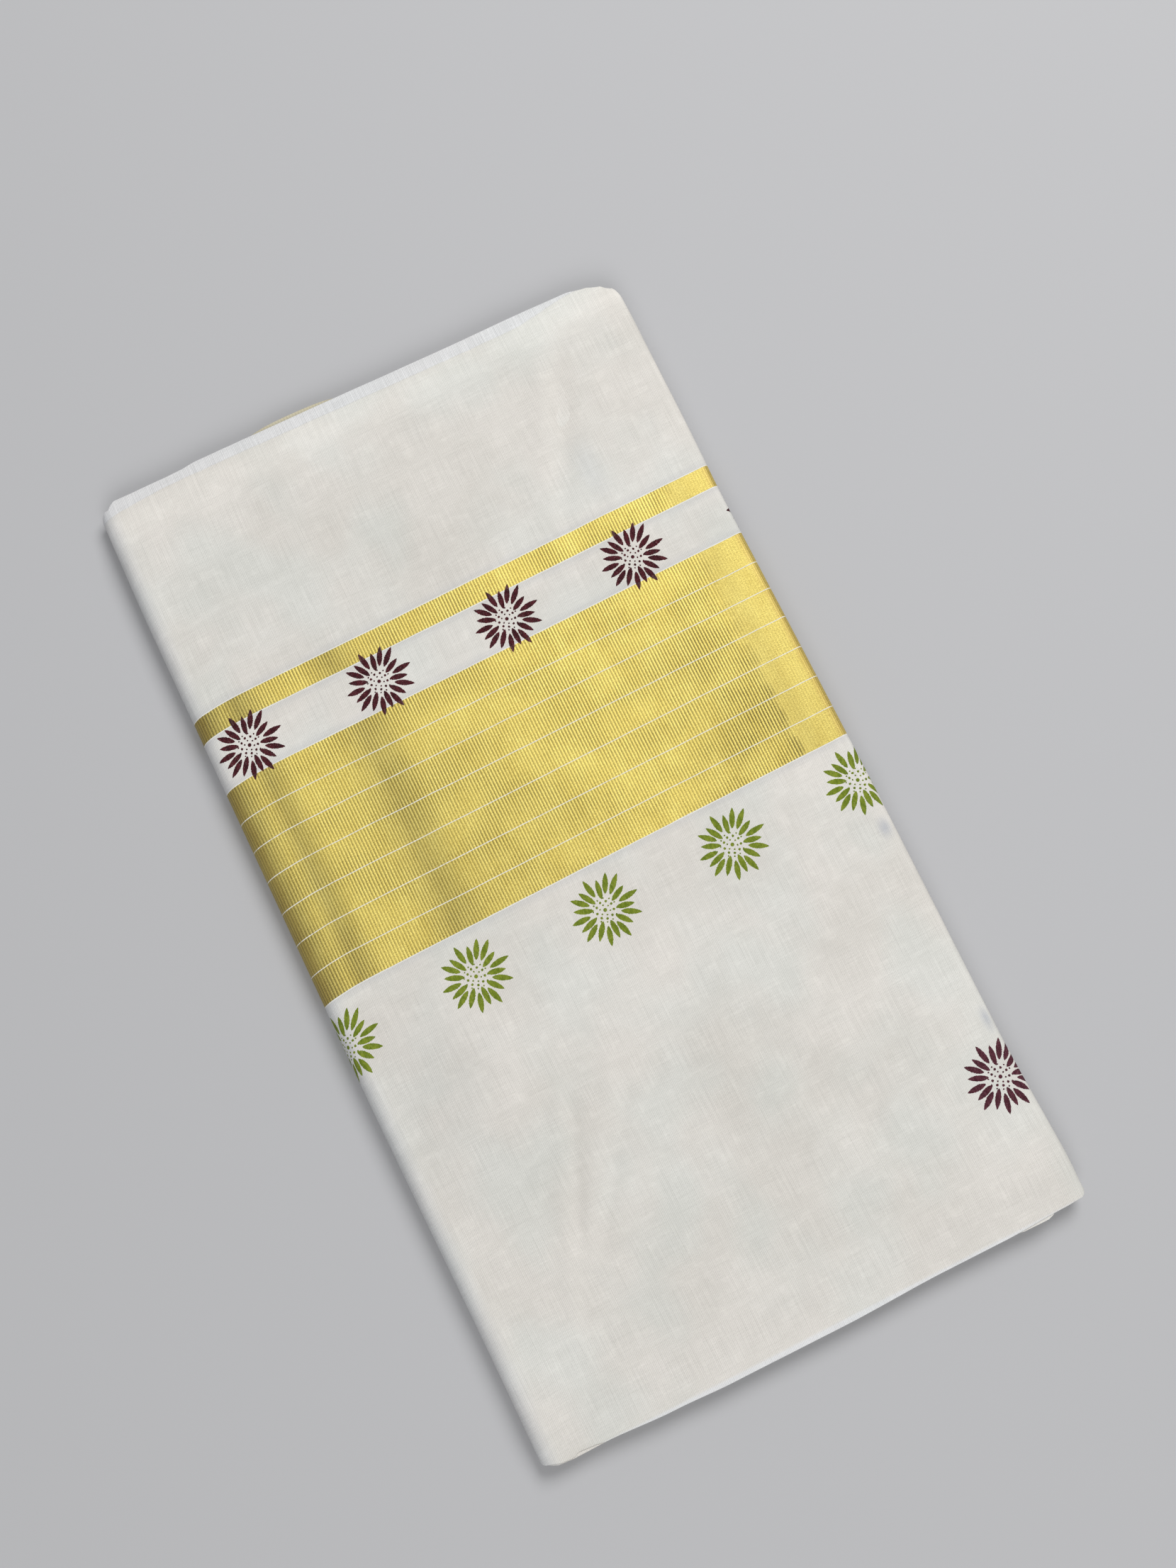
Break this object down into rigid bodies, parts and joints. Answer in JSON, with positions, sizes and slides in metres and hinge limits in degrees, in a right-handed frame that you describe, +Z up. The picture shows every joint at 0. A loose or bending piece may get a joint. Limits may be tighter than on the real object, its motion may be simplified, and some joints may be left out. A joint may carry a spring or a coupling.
{
  "type": "saree",
  "caption": "Cotton kasavu saree folded into a flat pack, with woven gold bands across it and block-printed flowers, lying face up.",
  "frame": {"origin": "centre of the pack's underside, on the surface it lies on", "axes": "+Y along the pack, from the flowered end to the plain end; +X across it, from the spine of the folds to the open side; +Z up"},
  "size_m": [0.2904, 0.5236, 0.0158],
  "materials": {
    "ribbed_cotton": "fine unbleached cotton with warp ribs, matt",
    "printed_cotton": "fine unbleached cotton with warp ribs and block-printed maroon and green flowers, matt",
    "gold_zari": "woven gold thread, satin sheen"
  },
  "bodies": {
    "root": {"end_field": "ribbed_cotton", "narrow_zari": "gold_zari", "motif_strip": "printed_cotton", "broad_zari": "gold_zari", "body_field": "printed_cotton", "tucked_zari": "gold_zari", "folded_core": "ribbed_cotton"}
  },
  "joints": []
}
